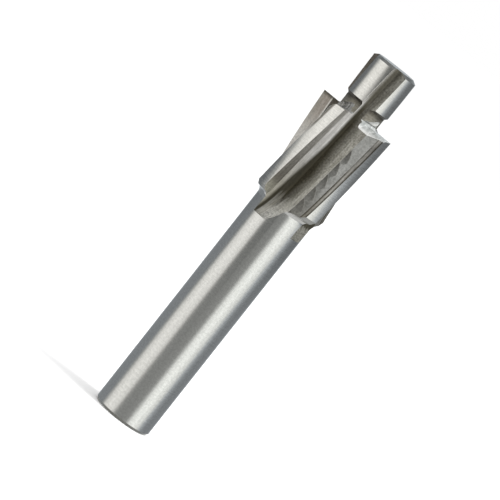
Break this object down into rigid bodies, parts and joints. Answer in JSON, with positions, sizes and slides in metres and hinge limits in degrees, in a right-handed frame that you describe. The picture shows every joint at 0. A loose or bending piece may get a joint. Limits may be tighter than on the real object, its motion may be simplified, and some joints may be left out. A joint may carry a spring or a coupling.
{
  "type": "pilot slotting cutter",
  "caption": "Solid counterbore end cutter: plain round shank, right-hand helical fluted head with ground end teeth, undercut neck and fluted guide pilot.",
  "frame": {"origin": "centre of the flat end face of the shank", "axes": "+Z along the tool's axis from the shank to the pilot; +X through the outer corner of one end cutting edge"},
  "size_m": [0.011, 0.011, 0.055],
  "materials": {
    "ground_steel": "ground"
  },
  "bodies": {
    "root": {"counterbore_cutter": "ground_steel"}
  },
  "joints": []
}
